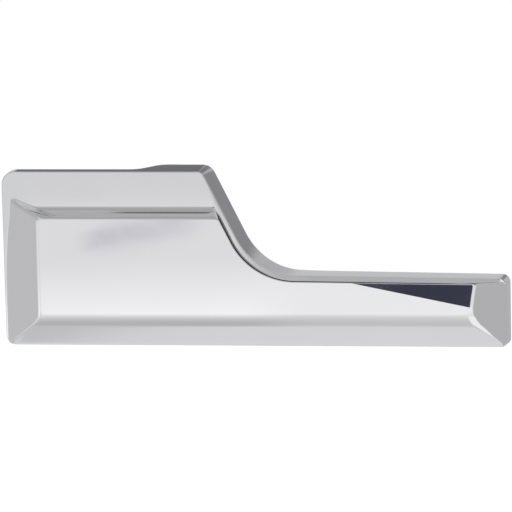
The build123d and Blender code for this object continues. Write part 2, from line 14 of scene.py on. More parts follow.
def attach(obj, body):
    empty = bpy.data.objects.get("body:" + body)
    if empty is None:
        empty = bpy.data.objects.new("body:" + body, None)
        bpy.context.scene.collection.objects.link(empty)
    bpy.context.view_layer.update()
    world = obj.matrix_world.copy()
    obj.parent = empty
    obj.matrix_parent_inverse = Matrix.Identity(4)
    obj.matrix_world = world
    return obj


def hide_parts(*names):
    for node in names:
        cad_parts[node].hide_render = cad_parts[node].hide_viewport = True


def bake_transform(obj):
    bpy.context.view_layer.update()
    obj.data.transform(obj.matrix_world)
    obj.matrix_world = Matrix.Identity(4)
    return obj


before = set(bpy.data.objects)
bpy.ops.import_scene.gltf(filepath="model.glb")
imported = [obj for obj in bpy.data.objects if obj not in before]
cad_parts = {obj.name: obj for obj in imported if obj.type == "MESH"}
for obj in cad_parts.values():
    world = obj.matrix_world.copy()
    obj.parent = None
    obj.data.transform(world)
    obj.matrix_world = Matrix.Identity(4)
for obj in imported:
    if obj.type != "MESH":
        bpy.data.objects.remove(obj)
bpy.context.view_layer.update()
MM = 0.001

# %% [markdown]
# A few helpers keep the later cells short. The first five add nodes to a tree and set or link their
# inputs. The others turn points and faces into an object, and choose which of its edges look sharp.

# %% Helpers for nodes and meshes
WELD, FINE_WELD, SLIVER = 0.003 * MM, 0.002 * MM, 0.01 * MM
SHARP_ANGLE = math.radians(32)
MIX_A, MIX_B, MIX_RESULT = 6, 7, 2  # the colour sockets of a Mix node


def feed(tree, node, inputs):
    """Sets a node's inputs, and links those that are given a socket or a node, for its first output."""
    for key, value in inputs.items():
        if isinstance(value, bpy.types.Node):
            value = value.outputs[0]
        if isinstance(value, bpy.types.NodeSocket):
            tree.links.new(value, node.inputs[key])
        else:
            node.inputs[key].default_value = value


def add_node(tree, kind, inputs=None, **settings):
    """New node in a tree, with its settings and inputs."""
    made = tree.nodes.new(kind)
    for name, value in settings.items():
        setattr(made, name, value)
    feed(tree, made, inputs or {})
    return made


def float_math(tree, operation, a, b):
    """Output of a Math node on two values or sockets."""
    return add_node(tree, "ShaderNodeMath", {0: a, 1: b}, operation=operation).outputs[0]


def rescale(tree, value, before=(0.0, 1.0), after=(0.0, 1.0), kind="LINEAR"):
    """A value carried from one range to another by a Map Range node, and held at the ends."""
    ends = {"From Min": before[0], "From Max": before[1], "To Min": after[0], "To Max": after[1]}
    made = add_node(tree, "ShaderNodeMapRange", {"Value": value, **ends}, interpolation_type=kind)
    return made.outputs["Result"]


def mix_colour(tree, factor, a, b):
    """Mix of two colours, each a socket or three values."""
    a, b = [c if isinstance(c, bpy.types.NodeSocket) else (*c, 1) for c in (a, b)]
    made = add_node(tree, "ShaderNodeMix", {"Factor": factor, MIX_A: a, MIX_B: b}, data_type="RGBA")
    return made.outputs[MIX_RESULT]


def add_object(name, data):
    """Object for a mesh, a lamp or a camera, linked to the scene."""
    made = bpy.data.objects.new(name, data)
    bpy.context.scene.collection.objects.link(made)
    return made


def mesh_from(name, points, faces=(), edges=()):
    """Mesh from points and the faces or edges between them."""
    mesh = bpy.data.meshes.new(name)
    mesh.from_pydata(points, edges, faces)
    return mesh


def shade(bm, sharp_angle):
    """Smooth faces, with those edges sharp that turn by the angle or more."""
    for face in bm.faces:
        face.smooth = True
    for edge in bm.edges:
        edge.smooth = edge.calc_face_angle(0.0) < sharp_angle


# %% [markdown]
# Plating, plastic and steel all show two things under a close light: a fine surface grain from the mould
# or the tool, and faint marks from handling. Both are shader node groups, built once, so that each
# material below only sets how coarse and how strong they are.


# %% Shared surface effects
def new_group(name, inputs, outputs):
    """Shader group with named values, and its incoming sockets."""
    tree = bpy.data.node_groups.new(name, "ShaderNodeTree")
    for label, value in inputs.items():
        socket = tree.interface.new_socket(label, in_out="INPUT", socket_type="NodeSocketFloat")
        socket.default_value = value
    for label in outputs:
        tree.interface.new_socket(label, in_out="OUTPUT", socket_type="NodeSocketFloat")
    return tree, add_node(tree, "NodeGroupInput").outputs


def moulded_grain():
    """Fine pebble of a moulded or blasted surface, as a height and as a slow patch mask."""
    tree, given = new_group("moulded_grain", {"Scale": 2500.0, "Patch Scale": 60.0}, ["Height", "Patches"])
    place = add_node(tree, "ShaderNodeTexCoord").outputs["Object"]
    pebble = add_node(tree, "ShaderNodeTexVoronoi", {"Vector": place, "Scale": given["Scale"]})
    patch = add_node(
        tree, "ShaderNodeTexNoise", {"Vector": place, "Scale": given["Patch Scale"], "Detail": 4.0}
    )
    add_node(tree, "NodeGroupOutput", {"Height": pebble, "Patches": patch})
    return tree


def handling_marks():
    """Soft smudges and hair-fine rubbing lines along X, as two masks."""
    tree, given = new_group(
        "handling_marks", {"Smudge Scale": 30.0, "Line Scale": 900.0}, ["Smudges", "Lines"]
    )
    place = add_node(tree, "ShaderNodeTexCoord").outputs["Object"]
    smudge = add_node(
        tree, "ShaderNodeTexNoise",
        {"Vector": place, "Scale": given["Smudge Scale"], "Detail": 5.0, "Distortion": 0.6},
    )
    clear = rescale(tree, smudge, before=(0.48, 0.75))
    stretch = add_node(tree, "ShaderNodeMapping", {"Vector": place, "Scale": (0.02, 1.0, 1.0)})
    line = add_node(
        tree, "ShaderNodeTexNoise", {"Vector": stretch, "Scale": given["Line Scale"], "Detail": 2.0}
    )
    add_node(tree, "NodeGroupOutput", {"Smudges": clear, "Lines": line})
    return tree


GRAIN = moulded_grain()
MARKS = handling_marks()
print("Effects:", GRAIN.name, MARKS.name)

# %% [markdown]
# Every finish below is one Principled shader. They differ in their colour range, in how metallic they are,
# in how the roughness wanders, and in the height that feeds the bump: a mould's pebble for plastic, rubbing
# lines for metal. Grain and lines are given as scale, strength and depth in millimetres.


# %% Finishes
def finish(name, dark, light, rough, metallic=0.0, grain=None, lines=None, patch_scale=60.0):
    """Material whose colour and roughness follow patches and marks; grain or lines give the bump."""
    material = bpy.data.materials.new(name)
    material.use_nodes = True
    tree = material.node_tree
    scale, strength, depth = grain or lines
    pebble = add_node(tree, "ShaderNodeGroup", {"Patch Scale": patch_scale}, node_tree=GRAIN)
    marks = add_node(tree, "ShaderNodeGroup", node_tree=MARKS)
    feed(tree, pebble if grain else marks, {"Scale" if grain else "Line Scale": scale})
    height = pebble.outputs["Height"] if grain else marks.outputs["Lines"]
    bump = add_node(
        tree, "ShaderNodeBump", {"Height": height, "Strength": strength, "Distance": depth * MM}
    )
    feed(tree, tree.nodes["Principled BSDF"], {
        "Base Color": mix_colour(tree, pebble.outputs["Patches"], dark, light),
        "Metallic": metallic,
        "Roughness": rescale(tree, marks.outputs["Smudges"], after=rough),
        "Normal": bump,
    })
    return material


CHROME = finish(
    "chrome_plating", (0.86, 0.86, 0.875), (0.9, 0.9, 0.91), (0.03, 0.1), metallic=1.0,
    lines=(700.0, 0.02, 0.002), patch_scale=25.0,
)
NYLON = finish(
    "black_nylon", (0.012, 0.012, 0.013), (0.022, 0.022, 0.023), (0.42, 0.55), grain=(1600.0, 0.35, 0.05)
)
ACETAL = finish(
    "white_acetal", (0.74, 0.73, 0.69), (0.82, 0.81, 0.77), (0.28, 0.4), grain=(3000.0, 0.1, 0.02)
)
ZINC = finish(
    "screw_zinc", (0.55, 0.56, 0.58), (0.7, 0.7, 0.7), (0.25, 0.42), metallic=1.0,
    grain=(2500.0, 0.12, 0.02),
)
STEEL = finish(
    "bright_steel", (0.56, 0.56, 0.57), (0.66, 0.66, 0.66), (0.18, 0.32), metallic=1.0,
    lines=(1500.0, 0.15, 0.01),
)
SPRING_STEEL = finish(
    "spring_steel", (0.3, 0.29, 0.28), (0.42, 0.41, 0.39), (0.24, 0.4), metallic=1.0,
    lines=(1200.0, 0.15, 0.01),
)
RUBBER = finish(
    "rubber", (0.018, 0.018, 0.018), (0.032, 0.031, 0.03), (0.7, 0.85), grain=(2200.0, 0.3, 0.04)
)
print("Finishes:", [m.name for m in bpy.data.materials])

# %% [markdown]
# The cover is the one piece that the user sees and holds: a plated moulding with a raised panel, bevelled
# on three sides, a coved step up to the shoulder and a deep side wall. It could be box-modelled and
# subdivided, but plating shows every wobble of a subdivision. Here it is a stack of contours instead: at
# each depth below the panel, every side of the outline moves outward by its own profile. Sides at the same
# depth meet in exact mitres, so the flats stay flat and the corners stay crisp. Lists of six values go by
# the sides' numbers, and a corner has the number of the side that starts there.

# %% Sizes of the cover, in millimetres
UNDER, NOSE, BAR, SLOPE, TOP, END = SIDES = range(6)
CORNER = 10  # added to the number of a point on a corner's arc
LEVER_LENGTH, HUB_HEIGHT, BAR_HEIGHT, BAR_SWELL = 166.6, 57.4, 22.5, 0.95
HUB_TOP_LENGTH, END_LEAN, SLOPE_ANGLE = 66.8, 0.7, math.radians(63.1)
LEFT, BOTTOM, RIM_Y, RISE = -34.0, -25.0, -30.0, 3.0
TIP, HUB_TOP, BAR_TOP = LEFT + LEVER_LENGTH, BOTTOM + HUB_HEIGHT, BOTTOM + BAR_HEIGHT
HUB_RIGHT = LEFT + HUB_TOP_LENGTH
SLOPE_FOOT = HUB_RIGHT + (HUB_HEIGHT - BAR_HEIGHT - BAR_SWELL) / math.tan(SLOPE_ANGLE)
OUTLINE = [
    Vector(corner) for corner in (
        (LEFT + END_LEAN, BOTTOM), (TIP, BOTTOM), (TIP, BAR_TOP),
        (SLOPE_FOOT, BAR_TOP + BAR_SWELL), (HUB_RIGHT, HUB_TOP), (LEFT, HUB_TOP),
    )
]
OUTLINE_RADII = [3.0, 1.6, 2.4, 22.0, 3.8, 4.2]
RIM_CORNER_RADII = [3.0, 1.6, 2.4, 22.0, 2.6, 4.2]
LEAST_RIM_RADIUS, LEAST_HOLLOW_RADIUS = 1.2, 0.6
WALL, DRAFT = 2.5, math.tan(math.radians(1.5))
BACK_ROUND, HOLLOW_ROUND, BACK_ROUND_STEPS = 0.5, 0.25, 4
HUB_SKIRT, NECK_SKIRT, NECK_END_SKIRT, BAR_SKIRT, TIP_SKIRT = 6.4, 18.4, 17.6, 11.8, 10.6
RAMP_X, RAMP_LENGTH, RAMP_RADIUS = 10.5, 6.0, 5.0
NECK_END_X, BAR_START_X, NECK_BACK_RADIUS = 44.0, 68.0, 40.0
FACET_LENGTH, FACET_HEIGHT, FACET_DROP = 38.4, 7.3, 0.3
print("Lever:", LEVER_LENGTH, "by", HUB_HEIGHT, "mm")

# %% [markdown]
# The side wall is deep at the neck and shallow at the hub and the tip, so its back edge is a line of its
# own, seen from above. Every contour gets points where that line bends.

# %% Back edge of the side wall
BACK_ARC_STEPS = 7
BEYOND_LEFT = LEFT - 5.0  # the line starts a little outside of the cover


def clamp(value):
    return min(max(value, 0.0), 1.0)


def value_at(line, place):
    """Value of a line of (place, value) pairs at a place, straight between the pairs."""
    for (a, low), (b, high) in zip(line, line[1:]):
        if place <= b:
            return low + (high - low) * (place - a) / (b - a)
    return line[-1][1]


def arc_points(corner, before, after, radius, count):
    """Points of the arc that rounds a corner between two unit directions."""
    turn = math.atan2(before.x * after.y - before.y * after.x, before.dot(after))
    start = corner - before * radius * math.tan(abs(turn) / 2)
    side = math.copysign(1.0, turn)
    centre = start + Vector((-before.y, before.x)) * radius * side
    return [centre + Matrix.Rotation(turn * k / count, 2) @ (start - centre) for k in range(count + 1)]


def back_line():
    """The side wall's back edge from above, from hub to tip."""
    places = [BEYOND_LEFT, RAMP_X, RAMP_X + RAMP_LENGTH, NECK_END_X, BAR_START_X, TIP]
    depths = [HUB_SKIRT, HUB_SKIRT, NECK_SKIRT, NECK_END_SKIRT, BAR_SKIRT, TIP_SKIRT]
    points = [Vector((x, RIM_Y + depth)) for x, depth in zip(places, depths)]
    ways = [(b - a).normalized() for a, b in zip(points, points[1:])]
    radii = [RAMP_RADIUS, RAMP_RADIUS, NECK_BACK_RADIUS, NECK_BACK_RADIUS]
    line = [points[0]]
    for k, radius in enumerate(radii):
        line += arc_points(points[k + 1], ways[k], ways[k + 1], radius, BACK_ARC_STEPS)
    return line + [points[-1]]


BACK_LINE = back_line()
RAMP_END = 1 + 2 * (BACK_ARC_STEPS + 1)
RAMP_XS = [p.x for p in BACK_LINE[1:RAMP_END]]
NECK_XS = [p.x for p in BACK_LINE[RAMP_END:-1]]
print("Points on the back edge:", len(BACK_LINE))

# %% [markdown]
# A contour is walked corner by corner: each corner gives the points of its arc, each side a few points
# between. The number of points is the same on every contour, so neighbours join as plain strips of quads.

# %% Rounded corners and contours
ARC_COUNTS = [10, 10, 10, 40, 10, 10]
FACET_PLACES = [0.06, 0.09, 0.15, 1 / 3, 2 / 3, 1.0]  # shares of the facet's length
BAR_XS = [72.0, 70.0, 68.0]
SLOPE_PLACE = 0.85
FLARE_STEPS = [14.0, 11.0, 9.0, 7.5, 6.0, 4.5, 3.0, 1.5, 0.6]
END_STEPS = 12


def shifted_corners(shifts):
    """Corners of the outline after its sides move outward, and the sides' directions."""
    ways = [(OUTLINE[(i + 1) % 6] - OUTLINE[i]).normalized() for i in SIDES]
    starts = [OUTLINE[i] + Vector((ways[i].y, -ways[i].x)) * shifts[i] for i in SIDES]
    corners = []
    for i in SIDES:
        p, d, q, e = starts[i - 1], ways[i - 1], starts[i], ways[i]
        reach = ((q.x - p.x) * e.y - (q.y - p.y) * e.x) / (d.x * e.y - d.y * e.x)
        corners.append(p + d * reach)
    return corners, ways


def side_points(side, start, end, way, cut_back):
    """Points on a side; cut_back is what the arc at its end takes of it."""
    if side == UNDER:
        return [Vector((x, start.y)) for x in RAMP_XS + NECK_XS]
    if side == NOSE:
        return [end - way * FACET_HEIGHT, end - way * FACET_HEIGHT / 2]
    if side == BAR:
        facet = [start + way * FACET_LENGTH * share for share in FACET_PLACES]
        return facet + [start.lerp(end, (x - start.x) / (end.x - start.x)) for x in BAR_XS]
    if side == SLOPE:
        return [start.lerp(end, SLOPE_PLACE)]
    if side == TOP:
        over_ramp = [Vector((x, start.y)) for x in reversed(RAMP_XS)]
        return over_ramp + [end - way * (cut_back + step) for step in FLARE_STEPS]
    return [start.lerp(end, k / (END_STEPS + 1)) for k in range(1, END_STEPS + 1)]


def contour(shifts, radii):
    """Points (x, z) round the outline, each with the number of its side or corner."""
    corners, ways = shifted_corners(shifts)
    made = []
    for side in SIDES:
        after = (side + 1) % 6
        arc = arc_points(corners[side], ways[side - 1], ways[side], radii[side], ARC_COUNTS[side])
        made += [(p, CORNER + side) for p in arc]
        cut_back = radii[after] * math.tan(abs(ways[after].angle_signed(ways[side])) / 2)
        made += [(p, side) for p in side_points(side, corners[side], corners[after], ways[side], cut_back)]
    return made


print("Points on a contour:", len(contour([0.0] * 6, OUTLINE_RADII)))

# %% [markdown]
# The profiles say how far each side stands out at a depth. From the panel downward there is a rounded
# crest, a straight bevel, riser or side, and at the foot a small cove where it runs into the ledge. The
# underside has a much softer crest than the others, which is what draws the grey band along it.

# %% Profiles of the panel's six sides
FOOT = [0.0, 0.0, -1.75, -1.7, -12.45, -2.2]
RUN = [8.8, 10.55, 0.02, 0.02, 2.4, 9.7]
CREST_RADII = [14.5, 8.5, 0.2, 0.2, 1.2, 4.0]
COVE_RADII = [0.0, 0.0, 0.08, 0.08, 2.1, 2.0]
RIM_RADII = [0.8, 0.8, 0.2, 0.2, 0.25, 0.3]
CREST_DEPTH, COVE_DEPTH, RIM_DEPTH = 0.76, 0.96, 0.8
BEVEL_END, BEVEL_SPAN = RISE - COVE_DEPTH, RISE - COVE_DEPTH - CREST_DEPTH
CREST_LEVELS = [CREST_DEPTH * (k / 16) ** 2 for k in range(17)]
BEVEL_LEVELS = [CREST_DEPTH + BEVEL_SPAN * k / 5 for k in range(1, 5)]
COVE_LEVELS = [RISE - COVE_DEPTH * (1 - k / 9) ** 2 for k in range(10)]
RIM_LEVELS = [RIM_DEPTH * (k / 6) ** 2 for k in range(7)]


def bevel_tilt(side):
    """Angle between a side's bevel or riser and the panel."""
    return math.atan2(RISE, RUN[side])


def rim_reach(side):
    """Length that the rounded rim takes from a bevel that runs out to it."""
    return RIM_RADII[side] * math.tan((math.pi / 2 - bevel_tilt(side)) / 2)


def stand_out(side, depth):
    """How far a side stands out from the outline at a depth below the panel."""
    tilt = bevel_tilt(side)
    crest, cove, rim = CREST_RADII[side], COVE_RADII[side], RIM_RADII[side]
    top = FOOT[side] - RUN[side]
    if depth < crest * (1 - math.cos(tilt)):
        reach = math.sqrt(crest**2 - (crest - depth) ** 2)
        return top - crest * math.tan(tilt / 2) + reach
    above = RISE - depth
    if above < cove * (1 - math.cos(tilt)):
        reach = math.sqrt(cove**2 - (cove - above) ** 2)
        return FOOT[side] + cove * math.tan(tilt / 2) - reach
    if FOOT[side] == 0.0 and above < rim_reach(side) * math.sin(tilt):
        return -rim + math.sqrt(rim**2 - (above + rim_reach(side)) ** 2)
    return top + depth * RUN[side] / RISE


def rim_round(side, depth):
    """The same below the foot, where the rim rounds over into the side wall."""
    rim = RIM_RADII[side]
    reach = rim_reach(side) if FOOT[side] == 0.0 else rim
    return -rim + math.sqrt(rim**2 - max(reach - depth, 0.0) ** 2)


print("Contours from the panel to the rim:", len(CREST_LEVELS + BEVEL_LEVELS + COVE_LEVELS + RIM_LEVELS))

# %% [markdown]
# Some liberties of the real moulding are added to the exact contours. The ledge at the hinged end narrows
# from top to bottom, and the step's foot flares upward into that corner. From the slope to the tip the
# ledge leans by less than a tenth of a millimetre, enough to change what it mirrors, and it narrows
# towards the tip. That upper corner carries a shallow three-cornered facet with a darker reflection.

# %% Ledge, flare and facet
END_LEDGE_TOP, END_LEDGE_BOTTOM, END_LEDGE_CURVE = 2.9, 0.5, 4
FLARE_RISE, FLARE_LENGTH, FLARE_CURVE = 3.4, 9.2, 1.15
FLARE_CORNER = LEFT - FOOT[END]
TIP_LEDGE_RISE, TIP_LEDGE_LENGTH = 0.75, 12.8
LEDGE_FLAT = -FOOT[BAR] - RIM_RADII[BAR]
BAR_LEDGE_TILT, SLOPE_LEDGE_TILT = 0.09, 0.05


def near_tip(x):
    """1 at the tip, falling to 0 where the bar's ledge reaches its full width."""
    return clamp(1 - (TIP - x) / TIP_LEDGE_LENGTH)


def moulded_place(point, number, depth):
    """Moves a panel point for the taper, the flare and the narrower ledge at the tip."""
    share = depth / RISE
    x, z = point
    start = FLARE_CORNER + (1 - share) * RUN[END]
    near = clamp(1 - (x - start) / FLARE_LENGTH)
    on_step = number in (TOP, CORNER + END)
    if on_step or number in (END, CORNER + UNDER):
        height = clamp((z - BOTTOM) / (HUB_HEIGHT + FOOT[TOP]))
        ledge = END_LEDGE_BOTTOM + (END_LEDGE_TOP - END_LEDGE_BOTTOM) * height**END_LEDGE_CURVE
        x += (ledge + FOOT[END]) * share * (near if on_step else 1.0)
    if on_step:
        z += FLARE_RISE * share * near**FLARE_CURVE
    if number in (BAR, CORNER + BAR):
        z += TIP_LEDGE_RISE * near_tip(x)
    return Vector((x, z))


def facet_share(ring, index):
    """1 at the bar's upper tip corner, falling to 0 at the facet's two far points."""
    number = ring[index][1]
    if number == CORNER + BAR:
        return 1.0
    same = [k for k in range(len(ring)) if ring[k][1] == number]
    if number == NOSE:
        return same.index(index) / len(same)
    if number == BAR and same.index(index) < len(FACET_PLACES):
        return 1 - FACET_PLACES[same.index(index)]
    return 0.0


def ledge_tilt(number, point):
    """How far the ledge's inner side stands ahead of the rim."""
    if number == CORNER + SLOPE:
        share = clamp((point.x - OUTLINE[SLOPE].x) / OUTLINE_RADII[SLOPE] + 0.5)
        return SLOPE_LEDGE_TILT + (BAR_LEDGE_TILT - SLOPE_LEDGE_TILT) * share
    if number == BAR:
        return BAR_LEDGE_TILT * (1 - TIP_LEDGE_RISE * near_tip(point.x) / LEDGE_FLAT)
    return SLOPE_LEDGE_TILT if number == SLOPE else 0.0


# %% [markdown]
# Now the contours are stacked from the panel back to the rim, down the drafted side wall, round its back
# edge and into the hollow, where the black carrier sits.

# %% Stack the cover's contours
MITRE_RADII = [0.6, 2.1, 0.5, 23.6, 0.8, 1.2]
TIP_MITRE = [(0.0, 2.1), (0.4, 2.1), (1.1, 1.6), (1.8, 0.3), (3.0, 0.3)]  # depth, radius of the lower one
FOOT_RADII = [2.4, 1.6, 1.5, 23.6, 0.8, 1.6]
MITRE_OPENING = 0.6


def mitre_radii(depth):
    """Corner radii of a panel contour: tight mitres that open towards the rim."""
    opening = max(0.0, 1 - (RISE - depth) / MITRE_OPENING)
    mitre = list(MITRE_RADII)
    mitre[NOSE] = value_at(TIP_MITRE, depth)
    return [a + (b - a) * opening**2 for a, b in zip(mitre, FOOT_RADII)]


def moved_radii(radii, shifts, least):
    """Corner radii after the sides move outward; the neck turns the other way."""
    pairs = enumerate(zip(radii, shifts))
    return [radius - shift if i == SLOPE else max(radius + shift, least) for i, (radius, shift) in pairs]


def panel_ring(depth):
    """Contour at a depth between the panel and the foot of its bevels."""
    flat = contour([stand_out(side, depth) for side in SIDES], mitre_radii(depth))
    facet_fade = clamp((BEVEL_END - depth) / BEVEL_SPAN)
    ring = []
    for k, (point, number) in enumerate(flat):
        place = moulded_place(point, number, depth)
        drop = FACET_DROP * facet_share(flat, k) * facet_fade
        slide = drop * RUN[NOSE] / RISE if number in (NOSE, CORNER + BAR) else 0.0
        short = ledge_tilt(number, point) * depth / RISE
        ring.append((place.x + slide, RIM_Y - RISE + depth - short + drop, place.y))
    return ring


def rim_ring(depth):
    """Contour at a depth below the ledge, round the rim."""
    shifts = [rim_round(side, depth) for side in SIDES]
    radii = moved_radii(RIM_CORNER_RADII, shifts, LEAST_RIM_RADIUS)
    return [(p.x, RIM_Y + depth, p.y) for p, _ in contour(shifts, radii)]


def outward(ring, k):
    """Outward direction of a flat ring at point k."""
    along = ring[(k + 1) % len(ring)][0] - ring[k - 1][0]
    return Vector((along.y, -along.x)).normalized()


def skirt_rings():
    """Side wall, rounded back edge, rear rim and the hollow behind."""
    hollow = [-WALL] * 6
    outer = contour([0.0] * 6, OUTLINE_RADII)
    inner = contour(hollow, moved_radii(OUTLINE_RADII, hollow, LEAST_HOLLOW_RADIUS))
    turns = [math.pi / 2 * k / BACK_ROUND_STEPS for k in range(BACK_ROUND_STEPS + 1)]
    rows = [(outer, BACK_ROUND * (1 - math.cos(a)), BACK_ROUND * (1 - math.sin(a))) for a in turns]
    rows += [(inner, -HOLLOW_ROUND * (1 - math.sin(a)), HOLLOW_ROUND * (1 - math.cos(a))) for a in turns]
    rings = []
    for flat, inset, ahead in rows:
        ring = []
        for k, (p, _) in enumerate(flat):
            y = value_at(BACK_LINE, p.x)
            q = p + outward(flat, k) * (DRAFT * (y - RIM_Y) - inset)
            ring.append((q.x, y - ahead, q.y))
        rings.append(ring)
    rings.append([(p.x, RIM_Y + WALL, p.y) for p, _ in inner])
    return rings


COVER_RINGS = [panel_ring(depth) for depth in CREST_LEVELS + BEVEL_LEVELS + COVE_LEVELS]
COVER_RINGS += [rim_ring(depth) for depth in RIM_LEVELS] + skirt_rings()
print("Contours of the cover:", len(COVER_RINGS), "of", len(COVER_RINGS[0]), "points")

# %% [markdown]
# Strips of quads join the contours, the panel and the facet close the front, and doubles merge where a
# ledge has no width. Smooth shading runs over every edge that isn't marked sharp, so the facet's crease
# is marked, and the crisp corner at the tip has a lower limit than the rest.

# %% Build the cover
TIP_CRISP, TIP_SHARP_ANGLE = 5.0, math.radians(12)
FRONT_MARGIN = 0.01


def strips(rings):
    """Quads that join each ring to the next."""
    count = len(rings[0])
    faces = []
    for first in range(0, (len(rings) - 1) * count, count):
        for k in range(count):
            a, b = first + k, first + (k + 1) % count
            faces.append((a, b, b + count, a + count))
    return faces


def mark_facet(bm, low, high, count):
    """Makes the facet's crease across the panel sharp, and its two ends over the crest."""
    bm.verts.ensure_lookup_table()
    pairs = [(low, high)]
    for column in (low, high):
        pairs += [(r * count + column, (r + 1) * count + column) for r in range(len(CREST_LEVELS))]
    for a, b in pairs:
        bm.edges.get((bm.verts[a], bm.verts[b])).smooth = False


def sharp_limit(edge):
    """Angle above which an edge of the cover is sharp."""
    middle = (edge.verts[0].co + edge.verts[1].co) / 2 / MM
    at_tip = middle.x > TIP - TIP_CRISP and middle.z > BAR_TOP - TIP_CRISP
    return TIP_SHARP_ANGLE if at_tip and middle.y < RIM_Y + FRONT_MARGIN else SHARP_ANGLE


def cover_mesh(rings):
    """Closed mesh of the cover from its rings."""
    count = len(rings[0])
    numbers = [number for _, number in contour([0.0] * 6, OUTLINE_RADII)]
    low, high = numbers.index(NOSE), numbers.index(BAR) + len(FACET_PLACES) - 1
    facet = tuple(range(low, high + 1))
    panel = tuple(range(high, count)) + tuple(range(low + 1))
    hollow = tuple(range((len(rings) - 1) * count, len(rings) * count))
    points = [Vector(p) * MM for ring in rings for p in ring]
    mesh = mesh_from("lever_cover_plated", points, strips(rings) + [facet, panel, hollow])
    bm = bmesh.new()
    bm.from_mesh(mesh)
    mark_facet(bm, low, high, count)
    bmesh.ops.remove_doubles(bm, verts=bm.verts, dist=FINE_WELD)
    bmesh.ops.recalc_face_normals(bm, faces=bm.faces)
    for face in bm.faces:
        face.smooth = True
    for edge in bm.edges:
        if edge.calc_face_angle(0.0) > sharp_limit(edge):
            edge.smooth = False
    bm.to_mesh(mesh)
    bm.free()
    return mesh


cover = add_object("lever_cover_plated", cover_mesh(COVER_RINGS))
cover.data.materials.append(CHROME)
cover.modifiers.new("even_normals", "WEIGHTED_NORMAL").keep_sharp = True
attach(cover, "lever")
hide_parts("lever_cover")
print("Cover:", len(cover.data.vertices), "points", len(cover.data.polygons), "faces")

# %% [markdown]
# The moulded and turned pieces behind the cover keep their CAD shape, but no real edge is as sharp as a
# CAD edge. A copy of each is merged, its flat areas are cleared of triangles, and a small Bevel gives the
# edges the fine line of light that tells plastic and steel from a drawing. The Bevel goes by edge
# weights, so that slivers too narrow for it stay out.

# %% Soften the carried-over pieces
FLAT_ANGLE, BEVEL_ANGLE = math.radians(0.6), math.radians(40)


def softened(node, body, width, material):
    """Merged copy of a CAD node with small rounded edges; it stands for the node."""
    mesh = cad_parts[node].data.copy()
    mesh.materials.clear()
    bm = bmesh.new()
    bm.from_mesh(mesh)
    bmesh.ops.remove_doubles(bm, verts=bm.verts, dist=WELD)
    bmesh.ops.dissolve_degenerate(bm, dist=SLIVER, edges=bm.edges)
    bmesh.ops.dissolve_limit(
        bm, angle_limit=FLAT_ANGLE, use_dissolve_boundaries=False, verts=bm.verts, edges=bm.edges
    )
    bmesh.ops.dissolve_degenerate(bm, dist=SLIVER, edges=bm.edges)
    shade(bm, SHARP_ANGLE)
    weight = bm.edges.layers.float.new("bevel_weight_edge")
    for edge in bm.edges:
        room = min(face.calc_area() for face in edge.link_faces) / edge.calc_length()
        wide = room > width * MM
        edge[weight] = 1.0 if wide and edge.calc_face_angle(0.0) > BEVEL_ANGLE else 0.0
    bm.to_mesh(mesh)
    bm.free()
    made = add_object(node + "_finished", mesh)
    mesh.materials.append(material)
    bevel = made.modifiers.new("soft_edges", "BEVEL")
    bevel.width, bevel.segments = width * MM, 2
    bevel.limit_method = "WEIGHT"
    bevel.use_clamp_overlap = False
    bevel.harden_normals = False
    made.modifiers.new("even_normals", "WEIGHTED_NORMAL").keep_sharp = True
    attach(made, body)
    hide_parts(node)
    print(node, len(mesh.polygons), "faces before the bevel")


softened("lever_carrier", "lever", 0.25, NYLON)
softened("hinge_base", "base", 0.25, NYLON)
for bush in ("upper_bush", "lower_bush"):
    softened(bush, "lever", 0.12, ACETAL)
softened("spring_sleeve", "base", 0.12, ACETAL)
softened("pivot_pin", "base", 0.1, STEEL)
softened("pin_retaining_ring", "base", 0.08, SPRING_STEEL)
for bumper in ("upper_rest_bumper", "lower_rest_bumper", "open_stop_bumper"):
    softened(bumper, "base", 0.25, RUBBER)

# %% [markdown]
# Pieces that follow a path or repeat are made by Geometry Nodes. One helper starts a tree with named
# inputs, one ends it with Realize Instances and Set Material, and one runs it on a seed mesh and keeps
# the result as a plain mesh. An input is set by its socket's identifier, because labels may change.

# %% Helpers for Geometry Nodes
GROWN_SHARP_ANGLE = math.radians(35)


def new_tree(name, values):
    """Geometry tree with an input for each value, and its incoming sockets."""
    tree = bpy.data.node_groups.new(name, "GeometryNodeTree")
    tree.interface.new_socket("Geometry", in_out="INPUT", socket_type="NodeSocketGeometry")
    tree.interface.new_socket("Geometry", in_out="OUTPUT", socket_type="NodeSocketGeometry")
    for label, value in values.items():
        kind = "NodeSocketInt" if isinstance(value, int) else "NodeSocketFloat"
        tree.interface.new_socket(label, in_out="INPUT", socket_type=kind)
    return tree, add_node(tree, "NodeGroupInput").outputs


def end_tree(tree, geometry, material):
    """Last nodes of every tree: realised and with its material."""
    real = add_node(tree, "GeometryNodeRealizeInstances", {"Geometry": geometry})
    done = add_node(tree, "GeometryNodeSetMaterial", {"Geometry": real, "Material": material})
    add_node(tree, "NodeGroupOutput", {"Geometry": done})
    return tree


